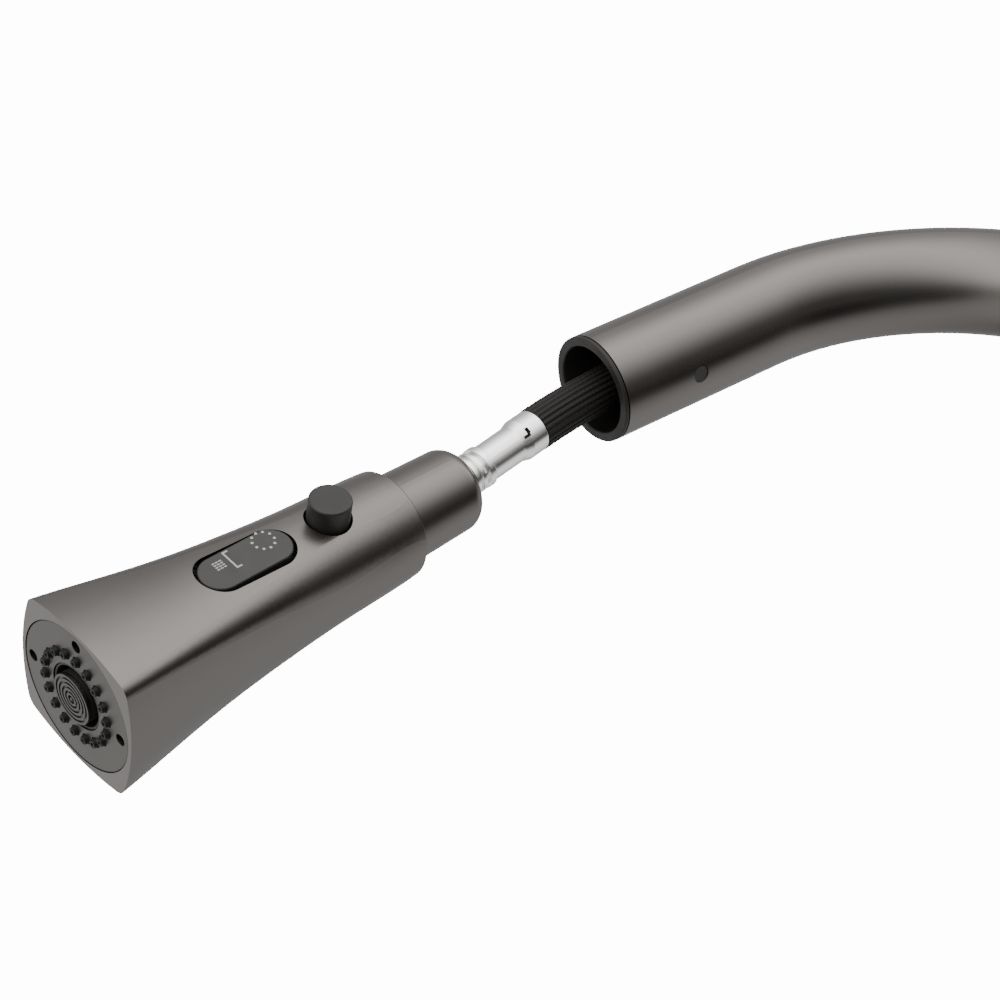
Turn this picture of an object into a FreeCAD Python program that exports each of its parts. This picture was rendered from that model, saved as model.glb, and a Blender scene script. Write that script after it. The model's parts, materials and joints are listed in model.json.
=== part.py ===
"""Pull-down kitchen faucet with a swivelling gooseneck spout, a side lever and a
spray head on a braided hose.

Millimetres, +Z up.  The origin is the centre of the round base where it rests on the
deck.  The spout points to -Y and the lever is on the +X side.  The spray head is
drawn out of the spout on its hose, a little to one side of the spout's own axis.
"""
import FreeCAD
import Part
import Sketcher

import math
import os

from FreeCAD import Placement, Rotation, Vector

X = Vector(1, 0, 0)
Y = Vector(0, 1, 0)
Z = Vector(0, 0, 1)

# ---------------------------------------------------------------- driving dimensions
SIZES = {
    # spout
    "tube_radius": 15.0,
    "tube_wall": 1.5,
    "bend_radius": 68.4,
    "tip_length": 58.8,
    "tip_angle": 48.0,
    "riser_foot": 97.6,
    "riser_top": 270.0,
    "insert_radius": 12.3,
    "insert_depth": 23.0,
    "insert_flange": 1.1,
    "mouth_gap": 0.35,
    "plug_distance": 26.0,
    "plug_radius": 2.3,
    # base and body
    "base_radius": 27.0,
    "base_height": 6.0,
    "gasket_height": 1.0,
    "body_radius": 23.0,
    "body_top": 96.0,
    "body_bore": 20.0,
    "boss_radius": 19.5,
    "boss_reach": 33.0,
    "valve_height": 55.0,
    "block_foot": 14.0,
    "block_top": 74.0,
    "shank_radius": 16.5,
    "shank_bore": 14.6,
    "shank_foot": 62.0,
    "inlet_radius": 4.0,
    "inlet_circle": 10.5,
    "inlet_depth": 12.0,
    # cartridge and lever
    "cartridge_radius": 13.0,
    "lever_pivot": 38.0,
    "ball_radius": 12.4,
    "hub_radius": 15.0,
    "arm_radius": 4.2,
    "arm_length": 84.0,
    # hose
    "hose_radius": 6.0,
    "outlet_foot": 140.0,
    "connector_length": 36.0,
    # ball joint between hose and spray head
    "ball_depth": 8.0,
    "joint_ball_radius": 5.2,
    "hose_end_distance": 36.3,
    # spray head, measured from the seam between neck and shell
    "neck_length": 24.1,
    "neck_seam_radius": 11.7,
    "neck_tip_radius": 11.05,
    "neck_round": 4.5,
    "head_length": 93.3,
    "face_radius": 18.7,
    "head_bore": 10.6,
    "button_distance": 21.7,
    "button_radius": 5.3,
    "rocker_distance": 46.7,
    "rocker_length": 25.4,
    "rocker_width": 10.6,
    "rocker_gap": 0.95,
    "nozzle_circle": 11.3,
    "aerator_radius": 6.3,
    "aerator_well": 8.2,
}

# The drawn-out spray head: centre of its seam seen from the mouth of the spout, the
# way its spray face points, the way its buttons point, the way the hose leaves its ball
# joint and the side of the ferrule that its crimp marks are on.
SEAM_FROM_MOUTH = Vector(-3.40, -39.74, -62.99)
HEAD_AXIS = Vector(0.0390, -0.5333, -0.8450)
BUTTON_SIDE = Vector(0.9464, 0.2912, -0.1401)
HOSE_WAY = Vector(0.0558, 0.5210, 0.8518)
CRIMP_SIDE = Vector(0.52, 0.24, -0.82)

doc = FreeCAD.newDocument("pull_down_faucet")
sheet = doc.addObject("Spreadsheet::Sheet", "Sizes")
for row, (alias, number) in enumerate(SIZES.items(), start=1):
    sheet.set(f"A{row}", alias)
    sheet.set(f"B{row}", str(number))
    sheet.setAlias(f"B{row}", alias)
doc.recompute()

nodes = []


class Size:
    """A number together with the sheet expression that gives it."""

    def __init__(self, number, text=None):
        self.number = float(number)
        self.text = text or repr(float(number))

    def _join(self, other, sign, number):
        return Size(number, f"({self.text} {sign} {as_size(other).text})")

    def __add__(self, other):
        return self._join(other, "+", self.number + as_size(other).number)

    def __sub__(self, other):
        return self._join(other, "-", self.number - as_size(other).number)

    def __mul__(self, other):
        return self._join(other, "*", self.number * as_size(other).number)

    def __float__(self):
        return self.number


def as_size(item):
    return item if isinstance(item, Size) else Size(item)


def dim(alias):
    return Size(SIZES[alias], f"Sizes.{alias}")


def bind(item, prop, size):
    """Sets a property from the sheet, and keeps it bound to the sheet."""
    size = as_size(size)
    setattr(item, prop, size.number)
    item.setExpression(prop, size.text)


def along(direction, origin=Vector()):
    """A placement whose own Z runs along direction."""
    return Placement(origin, Rotation(Z, direction))


def keep(item, label, placement=None):
    """Makes an object a sub-part of the faucet."""
    item.Label = label
    if placement is not None:
        item.Placement = placement
    nodes.append(item)
    return item


# ---------------------------------------------------------------- building blocks
def cylinder(name, radius, length, placement=Placement()):
    item = doc.addObject("Part::Cylinder", name)
    bind(item, "Radius", radius)
    bind(item, "Height", length)
    item.Placement = placement
    return item


def sphere(name, radius, placement=Placement()):
    item = doc.addObject("Part::Sphere", name)
    bind(item, "Radius", radius)
    item.Placement = placement
    return item


def block(name, length, width, height, placement=Placement()):
    item = doc.addObject("Part::Box", name)
    bind(item, "Length", length)
    bind(item, "Width", width)
    bind(item, "Height", height)
    item.Placement = placement
    return item


def torus(name, ring, section, placement=Placement()):
    item = doc.addObject("Part::Torus", name)
    bind(item, "Radius1", ring)
    bind(item, "Radius2", section)
    item.Placement = placement
    return item


def cut(name, base, *tools):
    """Takes the tools away from the base, one after another."""
    for number, tool in enumerate(tools):
        item = doc.addObject("Part::Cut", f"{name}_cut{number}")
        item.Base = base
        item.Tool = tool
        base = item
    return base


def fuse(name, *items):
    item = doc.addObject("Part::MultiFuse", f"{name}_fused")
    item.Shapes = list(items)
    return item


def common(name, first, second):
    item = doc.addObject("Part::MultiCommon", f"{name}_common")
    item.Shapes = [first, second]
    return item


def group(name, *items):
    """Several separate solids that share one node."""
    item = doc.addObject("Part::Compound", f"{name}_group")
    item.Links = list(items)
    return item


def plane_of(body, role):
    return next(item for item in body.Origin.OriginFeatures if item.Role == role)


def turned(name, outline):
    """A body of revolution about its own Z.

    outline is the closed half section as (radius, height) pairs, each of them a
    number or a Size, and none of them negative.
    """
    body = doc.addObject("PartDesign::Body", name)
    sketch = body.newObject("Sketcher::SketchObject", f"{name}_section")
    sketch.AttachmentSupport = (plane_of(body, "XZ_Plane"), [""])
    sketch.MapMode = "FlatFace"
    corners = [(as_size(radius), as_size(height)) for radius, height in outline]
    count = len(corners)
    for start in range(count):
        ends = [Vector(float(r), float(z), 0)
                for r, z in (corners[start], corners[(start + 1) % count])]
        sketch.addGeometry(Part.LineSegment(*ends))
    for start in range(count):
        sketch.addConstraint(Sketcher.Constraint("Coincident", start, 2, (start + 1) % count, 1))
    for index, corner in enumerate(corners):
        for kind, axis, size in (("DistanceX", -2, corner[0]), ("DistanceY", -1, corner[1])):
            if size.number == 0:
                sketch.addConstraint(Sketcher.Constraint("PointOnObject", index, 1, axis))
                continue
            number = sketch.addConstraint(
                Sketcher.Constraint(kind, -1, 1, index, 1, size.number))
            sketch.renameConstraint(number, f"{kind.lower()}_{index}")
            sketch.setExpression(f"Constraints.{kind.lower()}_{index}", size.text)
    turn = body.newObject("PartDesign::Revolution", f"{name}_turn")
    turn.Profile = sketch
    turn.ReferenceAxis = (sketch, ["V_Axis"])
    turn.Angle = 360
    body.Tip = turn
    return body


def rounded(name, base, *corners):
    """Rounds the circular edges given as (edge radius, height, rounding radius)."""
    doc.recompute()
    picks = []
    for number, edge in enumerate(base.Shape.Edges, start=1):
        if not isinstance(edge.Curve, Part.Circle):
            continue
        for radius, height, rounding in corners:
            same = abs(edge.Curve.Radius - float(radius)) < 1e-4
            if same and abs(edge.Curve.Center.z - float(height)) < 1e-4:
                picks.append((number, rounding, rounding))
    if len(picks) < len(corners):
        raise SystemExit(f"{name} lacks an edge to round")
    item = doc.addObject("Part::Fillet", f"{name}_rounded")
    item.Base = base
    item.Edges = picks
    return item


def ring(name, outer, inner, length, edge=0.0):
    """A plain turned ring standing on its own origin, with an optional outer chamfer."""
    outer, inner, length = as_size(outer), as_size(inner), as_size(length)
    if not edge:
        return turned(name, [(inner, 0), (outer, 0), (outer, length), (inner, length)])
    return turned(name, [(inner, 0), (outer - edge, 0), (outer, edge),
                         (outer, length - edge), (outer - edge, length), (inner, length)])


# ---------------------------------------------------------------- frames of reference
tip_turn = math.radians(SIZES["tip_angle"])
bend = SIZES["bend_radius"]
SPOUT_AXIS = Vector(0, -math.cos(tip_turn), -math.sin(tip_turn))
BEND_CENTRE = Vector(0, -bend, SIZES["riser_top"])
BEND_END = BEND_CENTRE + Vector(0, -bend * math.sin(tip_turn), bend * math.cos(tip_turn))
MOUTH = BEND_END + SPOUT_AXIS * SIZES["tip_length"]
HEAD_AXIS.normalize()
BUTTON_SIDE = (BUTTON_SIDE - HEAD_AXIS * BUTTON_SIDE.dot(HEAD_AXIS)).normalize()
SEAM = MOUTH + SEAM_FROM_MOUTH
HEAD_FRAME = Placement(SEAM, Rotation(BUTTON_SIDE, Vector(), HEAD_AXIS, "ZXY"))
HOSE_WAY.normalize()
BALL = SEAM - HEAD_AXIS * (SIZES["neck_length"] - SIZES["ball_depth"])
HOSE_END = BALL + HOSE_WAY * SIZES["hose_end_distance"]
FERRULE_FRAME = Placement(HOSE_END, Rotation(CRIMP_SIDE, Vector(), -HOSE_WAY, "ZXY"))
VALVE_CENTRE = Vector(0, 0, SIZES["valve_height"])


def mouth_frame(depth=0.0):
    """At the spout's mouth, with Z running out of it."""
    return along(SPOUT_AXIS, MOUTH - SPOUT_AXIS * depth)


def head_frame(distance=0.0):
    """On the spray head's axis: Z runs to the spray face and X to the buttons."""
    return HEAD_FRAME.multiply(Placement(Vector(0, 0, distance), Rotation()))


def valve_frame(distance):
    """On the cartridge's axis: Z runs out to the lever."""
    return along(X, VALVE_CENTRE + X * distance)


def at_height(height):
    return Placement(Vector(0, 0, height), Rotation())


# ---------------------------------------------------------------- base and body
def make_base():
    keep(ring("base_gasket_body", dim("base_radius") - 1, dim("shank_radius") + 0.4,
              dim("gasket_height")), "base_gasket")
    foot = ring("base_ring_body", dim("base_radius"), dim("body_bore"), dim("base_height"))
    foot = rounded("base_ring", foot, (dim("base_radius"), dim("base_height"), 2.2),
                   (dim("base_radius"), 0, 0.4))
    keep(foot, "base_ring", at_height(SIZES["gasket_height"]))


def make_body_shell():
    foot = SIZES["gasket_height"] + SIZES["base_height"]
    outer = cylinder("shell_outer", dim("body_radius"), dim("body_top") - foot, at_height(foot))
    boss = cylinder("shell_boss", dim("boss_radius"), dim("boss_reach"), along(X, VALVE_CENTRE))
    bore = cylinder("shell_bore", dim("body_bore"), dim("body_top"), at_height(foot - 1))
    side = cylinder("shell_side_bore", dim("cartridge_radius") + 3.6, dim("boss_reach") + 2,
                    along(X, VALVE_CENTRE))
    keep(cut("body_shell", fuse("body_shell", outer, boss), bore, side), "body_shell")


def make_valve_block():
    height = dim("block_top") - dim("block_foot")
    outer = cylinder("block_outer", dim("body_bore") - 0.1, height, at_height(SIZES["block_foot"]))
    hose_way = cylinder("block_hose_way", dim("hose_radius") + 1.2, 100, at_height(0))
    seat = cylinder("block_seat", dim("cartridge_radius") + 0.1, 40, valve_frame(9.0))
    nut_seat = cylinder("block_nut_seat", dim("cartridge_radius") + 3.5, 40, valve_frame(15.0))
    ports = []
    for name, angle in (("outlet", 90), ("hot", 210), ("cold", 330)):
        turn = math.radians(angle)
        spot = Vector(math.cos(turn), math.sin(turn), 0) * SIZES["inlet_circle"]
        port = cylinder(f"block_{name}_port", dim("inlet_radius"), dim("inlet_depth") + 1,
                        Placement(spot + Z * (SIZES["block_foot"] - 1), Rotation()))
        ports.append(port)
    keep(cut("valve_block", outer, hose_way, seat, nut_seat, *ports), "valve_block")


def make_shank():
    shank = turned("shank_body", [
        (dim("shank_bore"), 0), (dim("shank_radius") - 0.8, 0), (dim("shank_radius"), 0.8),
        (dim("shank_radius"), dim("shank_foot") + 1), (dim("body_bore") - 0.1, dim("shank_foot") + 1),
        (dim("body_bore") - 0.1, dim("shank_foot") + dim("block_foot")),
        (dim("shank_bore"), dim("shank_foot") + dim("block_foot"))])
    keep(shank, "shank", at_height(-SIZES["shank_foot"]))
    clear = dim("shank_radius") + 0.25
    washer = ring("rubber_washer_body", 27, clear, 3)
    keep(washer, "rubber_washer", at_height(-43))
    plate = ring("metal_washer_body", 27, clear, 2)
    keep(plate, "metal_washer", at_height(-45))
    hexagon = doc.addObject("Part::Prism", "nut_hexagon")
    hexagon.Polygon = 6
    bind(hexagon, "Circumradius", 24)
    bind(hexagon, "Height", 9)
    thread = cylinder("nut_thread", dim("shank_radius") + 0.05, 12, at_height(-1))
    screws = []
    holes = []
    for number in range(2):
        spot = Vector(19.2, 0, 0) if number else Vector(-19.2, 0, 0)
        holes.append(cylinder(f"nut_hole{number}", 1.6, 12, Placement(spot - Z, Rotation())))
        screws.append(cylinder(f"nut_screw_shaft{number}", 1.5, 16, Placement(spot - Z * 7, Rotation())))
        screws[-1] = fuse(f"nut_screw{number}", screws[-1],
                          cylinder(f"nut_screw_head{number}", 2.4, 2.4,
                                   Placement(spot - Z * 9.4, Rotation())))
    keep(cut("mounting_nut", hexagon, thread, *holes), "mounting_nut", at_height(-54))
    keep(group("nut_screws", *screws), "nut_screws", at_height(-54))


# ---------------------------------------------------------------- cartridge and lever
def make_cartridge():
    radius = dim("cartridge_radius")
    shell = turned("cartridge_body", [
        (0, 0), (radius, 0), (radius, 21), (4.6, 21), (4.6, 14), (radius - 2, 14),
        (radius - 2, 3), (0, 3)])
    keep(shell, "cartridge_housing", valve_frame(9.4))
    keep(cylinder("fixed_disc_body", radius - 2.2, 3), "fixed_ceramic_disc", valve_frame(12.5))
    keep(cylinder("moving_disc_body", radius - 3.4, 3), "moving_ceramic_disc", valve_frame(15.55))
    keep(turned("stem_body", [(0, 0), (8, 0), (8, 3.4), (3.6, 3.4), (3.6, 15), (0, 15)]),
         "cartridge_stem", valve_frame(18.6))
    keep(ring("cartridge_nut_body", radius + 3.4, radius + 0.1, 6, 0.4), "cartridge_nut",
         valve_frame(24.6))
    bonnet = ring("bonnet_body", dim("boss_radius") - 0.2, dim("ball_radius") + 0.4, 5.9)
    bonnet = rounded("bonnet", bonnet, (dim("boss_radius") - 0.2, 5.9, 3.2))
    keep(bonnet, "bonnet_ring", valve_frame(SIZES["boss_reach"] + 0.1))


def make_lever():
    pivot = SIZES["lever_pivot"]
    ball = common("lever_ball", sphere("lever_ball_round", dim("ball_radius")),
                  cylinder("lever_ball_cap", 20, 30, at_height(-1.5)))
    bore = cylinder("lever_ball_bore", 3.9, 12, at_height(-6))
    keep(cut("lever_ball", ball, bore), "lever_ball", valve_frame(pivot))
    hub = turned("lever_hub_body", [
        (10.1, 0), (dim("hub_radius"), 0), (dim("hub_radius"), 15.4), (4.0, 16.0),
        (4.0, 12.6), (10.1, 9.5)])
    hub = rounded("lever_hub", hub, (dim("hub_radius"), 15.4, 3.0), (dim("hub_radius"), 0, 0.6))
    arm_hole = cylinder("lever_arm_hole", 3.1, 12, Placement(Vector(-8, 0, 7.6), Rotation(Z, -X)))
    screw_hole = cylinder("lever_screw_hole", 2.05, 9, Placement(Vector(8.5, 0, 7.6), Rotation(Z, X)))
    keep(cut("lever_hub", hub, arm_hole, screw_hole), "lever_hub", valve_frame(pivot + 7.5))
    arm = turned("lever_arm_body", [
        (0, 0), (3.0, 0), (3.0, 5.6), (dim("arm_radius"), 7.4),
        (dim("arm_radius") - 0.9, dim("arm_length")), (0, dim("arm_length"))])
    arm = rounded("lever_arm", arm, (dim("arm_radius") - 0.9, dim("arm_length"), 2.4),
                  (dim("arm_radius"), 7.4, 1.0))
    keep(arm, "lever_arm",
         Placement(Vector(pivot + 15.1, 0, SIZES["valve_height"] + 9.8), Rotation()))
    screw = cylinder("lever_screw_thread", 2.0, 6)
    socket = doc.addObject("Part::Prism", "lever_screw_socket")
    socket.Polygon = 6
    bind(socket, "Circumradius", 1.1)
    bind(socket, "Height", 3)
    keep(cut("lever_screw", screw, socket), "lever_set_screw",
         Placement(Vector(pivot + 15.1, 0, SIZES["valve_height"] - 14.9), Rotation()))
    keep(cylinder("index_cap_body", 3.9, 3.4), "lever_index_cap", valve_frame(pivot + 7.5 + 12.7))


# ---------------------------------------------------------------- spout
def spout_line():
    """Centre line of the spout tube, from its foot to its mouth."""
    foot = Vector(0, 0, SIZES["riser_foot"])
    top = Vector(0, 0, SIZES["riser_top"])
    crown_turn = (math.pi / 2 + tip_turn) / 2
    crown = BEND_CENTRE + Vector(0, bend * math.cos(crown_turn), bend * math.sin(crown_turn))
    tube_end = MOUTH - SPOUT_AXIS * (SIZES["insert_flange"] + SIZES["mouth_gap"])
    return [Part.LineSegment(foot, top), Part.Arc(top, crown, BEND_END),
            Part.LineSegment(BEND_END, tube_end)]


def swept(path, radius, start, direction):
    """A round solid swept along a path of runs and tangent arcs."""
    wire = Part.Wire([edge.toShape() for edge in path])
    profile = Part.Wire(Part.makeCircle(radius, start, direction))
    return wire.makePipeShell([profile], True, False)


def make_spout_tube():
    foot = Vector(0, 0, SIZES["riser_foot"])
    outer = swept(spout_line(), SIZES["tube_radius"], foot, Z)
    inner = swept(spout_line(), SIZES["tube_radius"] - SIZES["tube_wall"], foot, Z)
    tube = outer.cut(inner)
    plug_at = MOUTH - SPOUT_AXIS * SIZES["plug_distance"]
    inward = X.cross(SPOUT_AXIS)
    hole = Part.makeCylinder(SIZES["plug_radius"] + 0.1, 8, plug_at + inward * 10, inward)
    item = doc.addObject("Part::Feature", "spout_tube_shape")
    item.Shape = tube.cut(hole)
    keep(item, "spout_tube")
    plug = cylinder("side_plug_body", dim("plug_radius"), dim("tube_wall") + 1.0)
    keep(plug, "side_plug", along(inward, plug_at + inward * (SIZES["tube_radius"] - 2.7)))


def make_spout_fittings():
    inner = dim("tube_radius") - dim("tube_wall")
    face = dim("insert_depth")
    rim = face - dim("insert_flange")
    insert = turned("mouth_insert_body", [
        (dim("insert_radius"), 0), (inner - 0.05, 0), (inner - 0.05, rim),
        (dim("tube_radius") - 0.05, rim), (dim("tube_radius") - 0.05, face),
        (dim("insert_radius"), face)])
    insert = rounded("mouth_insert", insert, (dim("tube_radius") - 0.05, face, 0.35),
                     (dim("insert_radius"), face, 0.5))
    keep(insert, "mouth_insert", mouth_frame(SIZES["insert_depth"]))
    keep(ring("dock_magnet_body", inner - 0.1, 9.6, 4), "dock_magnet",
         mouth_frame(SIZES["insert_depth"] + 9.6))
    spigot = turned("spigot_body", [
        (8.2, 0), (16, 0), (16, 16.2), (dim("tube_radius") - dim("tube_wall") - 0.05, 16.2),
        (dim("tube_radius") - dim("tube_wall") - 0.05, 32), (8.2, 32)])
    keep(spigot, "spout_spigot", at_height(81.2))
    collar = turned("collar_body", [
        (dim("tube_radius") + 0.05, 0), (dim("body_radius"), 0), (dim("body_radius"), 5.5),
        (dim("tube_radius") + 1.4, 11.5), (dim("tube_radius") + 0.05, 11.5)])
    collar = rounded("spout_collar", collar, (dim("body_radius"), 5.5, 3.0),
                     (dim("tube_radius") + 1.4, 11.5, 1.0), (dim("body_radius"), 0, 0.4))
    keep(collar, "spout_collar", at_height(97.6))
    keep(ring("glide_washer_body", dim("body_radius") - 0.8, 16.3, 1.3), "glide_washer", at_height(96.1))
    for name, height in (("swivel_bush_upper", 89.0), ("swivel_bush_lower", 81.4)):
        keep(ring(f"{name}_body", dim("body_bore") - 0.05, 16.05, 5), name, at_height(height))
    keep(ring("thrust_ring_body", dim("body_bore") - 0.1, 8.4, 6.0), "thrust_ring", at_height(75.0))


# ---------------------------------------------------------------- hose
def rounded_route(points):
    """Straight runs joined by tangent arcs that are as large as the runs allow."""
    edges = []
    radii = []
    start = points[0]
    for before, corner, after in zip(points, points[1:], points[2:]):
        come = (corner - before).normalize()
        go = (after - corner).normalize()
        half = come.getAngle(go) / 2
        setback = 0.45 * min((corner - before).Length, (after - corner).Length)
        radii.append(setback / math.tan(half))
        first = corner - come * setback
        last = corner + go * setback
        middle = corner + (go - come).normalize() * radii[-1] * (1 / math.cos(half) - 1)
        edges += [Part.LineSegment(start, first), Part.Arc(first, middle, last)]
        start = last
    edges.append(Part.LineSegment(start, points[-1]))
    return edges, radii


def make_hose(label, points):
    """One stretch of hose: its route is straight runs with tangent arcs."""
    edges, radii = rounded_route(points)
    solid = swept(edges, SIZES["hose_radius"], points[0], points[1] - points[0])
    length = sum(edge.length() for edge in edges)
    ratio = solid.Volume / (math.pi * SIZES["hose_radius"] ** 2 * length)
    print(f"{label}: length {length:.1f}, volume ratio {ratio:.4f}, radii",
          " ".join(f"{radius:.0f}" for radius in radii))
    item = doc.addObject("Part::Feature", f"{label}_shape")
    item.Shape = solid
    keep(item, label)


def bend_point(degrees):
    """A point just outside the middle of the spout's bend, counted from its riser."""
    turn = math.radians(degrees)
    return BEND_CENTRE + Vector(0, math.cos(turn), math.sin(turn)) * bend * 1.0205


# the straight stretch of the loop below the deck that carries the weight
WEIGHT_RUN = (Vector(-6, -43, -172), Vector(-9, -86, -210))


def make_hoses():
    split = MOUTH - SPOUT_AXIS * 56
    make_hose("hose_pull_length", [
        HOSE_END,
        HOSE_END + HOSE_WAY * 12,
        MOUTH - SPOUT_AXIS * 18,
        MOUTH - SPOUT_AXIS * 37 + X * 0.5,
        split])
    make_hose("hose_spout_length", [
        split - SPOUT_AXIS * 0.5,
        bend_point(126.5),
        bend_point(103.5),
        bend_point(80.5),
        bend_point(57.5),
        bend_point(34.5),
        bend_point(11.5),
        Vector(1.5, -2, 238),
        Vector(-1.5, 1.5, 190),
        Vector(1, -1, 150),
        Vector(0, 0, 121),
        Vector(0, 0, SIZES["riser_foot"])])
    outlet = Vector(0, SIZES["inlet_circle"], 0)
    make_hose("hose_loop", [
        Vector(0, 0, SIZES["riser_foot"]),
        Vector(0, 0, -70),
        Vector(-3, -10, -126),
        WEIGHT_RUN[0],
        WEIGHT_RUN[1],
        Vector(-10, -119, -248),
        Vector(-11, -131, -290),
        Vector(-11, -128, -338),
        Vector(-9, -87, -379),
        Vector(-6, -29, -379),
        Vector(-3, 10.5, -339),
        Vector(-1, 15, -284),
        Vector(0, 11.5, -230),
        outlet - Z * (SIZES["outlet_foot"] + SIZES["connector_length"])])


def make_hose_end():
    """The bright metal end of the hose: crimped collar, flange, rings and its ball."""
    ball = SIZES["hose_end_distance"]
    profile = [
        (0, 0), (5.85, 0), (5.85, 5.7), (5.1, 8.1), (5.05, 19.2), (5.65, 19.7), (5.65, 21.5),
        (4.5, 21.9), (4.5, 22.9), (5.55, 23.2), (5.55, 24.2), (4.7, 24.5), (4.7, 25.0),
        (5.45, 25.3), (5.45, 26.2), (4.4, 26.6), (4.4, ball), (0, ball)]
    turning = rounded("ferrule", turned("ferrule_body", profile), (5.85, 0, 0.5), (5.85, 5.7, 0.8),
                      (5.1, 8.1, 1.5), (5.65, 21.5, 0.3), (5.65, 19.7, 0.3))
    round_end = sphere("ferrule_ball", dim("joint_ball_radius"), at_height(ball))
    way = cylinder("ferrule_way", 3.4, ball + 8, at_height(-1))
    crimp = block("ferrule_crimp", 2.4, 1.7, 1.1, Placement(Vector(4.3, -0.2, 5.0), Rotation()))
    tail = block("ferrule_crimp_tail", 2.4, 0.8, 2.0, Placement(Vector(4.3, -0.9, 5.4), Rotation()))
    slot = block("ferrule_slot", 1.6, 2.6, 0.9, Placement(Vector(3.9, -3.0, 22.0), Rotation()))
    ferrule = cut("hose_ferrule", fuse("ferrule", turning, round_end), way, crimp, tail, slot)
    keep(ferrule, "hose_ferrule", FERRULE_FRAME)
    keep(ring("hose_nipple_body", 3.3, 2.4, 24), "hose_nipple", FERRULE_FRAME)


def make_under_deck():
    outlet = Vector(0, SIZES["inlet_circle"], 0)
    foot = -SIZES["outlet_foot"]
    length = dim("outlet_foot") + dim("block_foot") + 10
    tube = turned("outlet_tube_body", [
        (2.6, 0), (dim("inlet_radius") - 0.05, 0), (dim("inlet_radius") - 0.05, length), (2.6, length)])
    keep(tube, "outlet_tube", Placement(outlet + Z * foot, Rotation()))
    connector = turned("connector_body", [
        (6.3, 0), (8.6, 0), (9.6, 1.0), (9.6, 12), (8.2, 13.5), (8.2, 24), (9.0, 25),
        (9.0, dim("connector_length") + 5), (dim("inlet_radius"), dim("connector_length") + 5),
        (dim("inlet_radius"), dim("connector_length") - 8), (6.3, 20)])
    keep(connector, "quick_connector",
         Placement(outlet + Z * (foot - SIZES["connector_length"]), Rotation()))
    clip = ring("connector_clip_body", 10.4, 8.3, 5)
    slot = block("connector_clip_gap", 24, 7, 8, Placement(Vector(0, -3.5, -1), Rotation()))
    keep(cut("connector_clip", clip, slot), "connector_clip",
         Placement(outlet + Z * (foot - SIZES["connector_length"] + 16), Rotation()))
    run = WEIGHT_RUN[1] - WEIGHT_RUN[0]
    frame = along(run, WEIGHT_RUN[0] + run * 0.17)
    for name, side in (("hose_weight_front", 1), ("hose_weight_back", -1)):
        solid = turned(f"{name}_turned", [
            (dim("hose_radius") + 2.2, 0), (15, 0), (17, 2), (17, 36), (15, 38),
            (dim("hose_radius") + 2.2, 38)])
        half = block(f"{name}_side", 40, 20, 40, Placement(
            Vector(-20, 0.1 if side > 0 else -20.1, -1), Rotation()))
        keep(common(name, solid, half), name, frame)


# ---------------------------------------------------------------- spray head
NOZZLES = 18

# distance from the seam, half width, side radius and corner radius of the shell
SHELL_SECTIONS = [
    (0.6, 14.2, 15.0, 13.6),
    (7, 14.5, 16.5, 12.6),
    (21, 14.5, 22, 11.2),
    (41, 15.0, 31, 8.8),
    (61, 16.2, 41, 6.4),
    (79, 18.2, 50, 4.6),
    (SIZES["head_length"], 19.9, 58, 3.6),
]


def shell_section(distance, half, side, corner):
    """A square with bowed sides and round corners, all of its arcs tangent."""
    shift = side - half
    reach = side - corner
    middle = (-shift + math.sqrt(2 * reach ** 2 - shift ** 2)) / 2
    edges = []
    for quarter in range(4):
        turn = Rotation(Z, 90 * quarter)

        def spot(centre, radius, angle):
            point = centre + Vector(math.cos(angle), math.sin(angle), 0) * radius
            return turn.multVec(point) + Z * distance

        swing = math.atan2(middle, middle + shift)
        side_centre = Vector(-shift, 0, 0)
        edges.append(Part.Arc(spot(side_centre, side, -swing), spot(side_centre, side, 0),
                              spot(side_centre, side, swing)).toShape())
        corner_centre = Vector(middle, middle, 0)
        edges.append(Part.Arc(spot(corner_centre, corner, swing),
                              spot(corner_centre, corner, math.pi / 4),
                              spot(corner_centre, corner, math.pi / 2 - swing)).toShape())
    return Part.Wire(edges)


def stadium(name, length, width, height, placement):
    """A slab with half-round ends, standing along X and lying along Z."""
    body = doc.addObject("PartDesign::Body", name)
    sketch = body.newObject("Sketcher::SketchObject", f"{name}_outline")
    sketch.AttachmentSupport = (plane_of(body, "YZ_Plane"), [""])
    sketch.MapMode = "FlatFace"
    length, width = as_size(length), as_size(width)
    half = float(width) / 2
    centre = float(length) / 2 - half
    turns = {1: (0, math.pi), -1: (math.pi, 2 * math.pi)}
    for sign in (1, -1):
        circle = Part.Circle(Vector(0, sign * centre, 0), Z, half)
        sketch.addGeometry(Part.ArcOfCircle(circle, *turns[sign]))
    for sign in (1, -1):
        sketch.addGeometry(Part.LineSegment(Vector(sign * half, -centre, 0),
                                            Vector(sign * half, centre, 0)))
    for first, second in (((0, 1), (2, 2)), ((0, 2), (3, 2)), ((1, 1), (3, 1)), ((1, 2), (2, 1))):
        sketch.addConstraint(Sketcher.Constraint("Tangent", *first, *second))
    sketch.addConstraint(Sketcher.Constraint("PointOnObject", 0, 3, -2))
    sketch.addConstraint(Sketcher.Constraint("Symmetric", 0, 3, 1, 3, -1, 1))
    radius = sketch.addConstraint(Sketcher.Constraint("Radius", 0, half))
    sketch.renameConstraint(radius, "end_radius")
    sketch.setExpression("Constraints.end_radius", (width * 0.5).text)
    apart = sketch.addConstraint(Sketcher.Constraint("DistanceY", 1, 3, 0, 3, 2 * centre))
    sketch.renameConstraint(apart, "centre_distance")
    sketch.setExpression("Constraints.centre_distance", (length - width).text)
    pad = body.newObject("PartDesign::Pad", f"{name}_pad")
    pad.Profile = sketch
    pad.Length = float(height)
    body.Tip = pad
    body.Placement = placement
    return body


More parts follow.
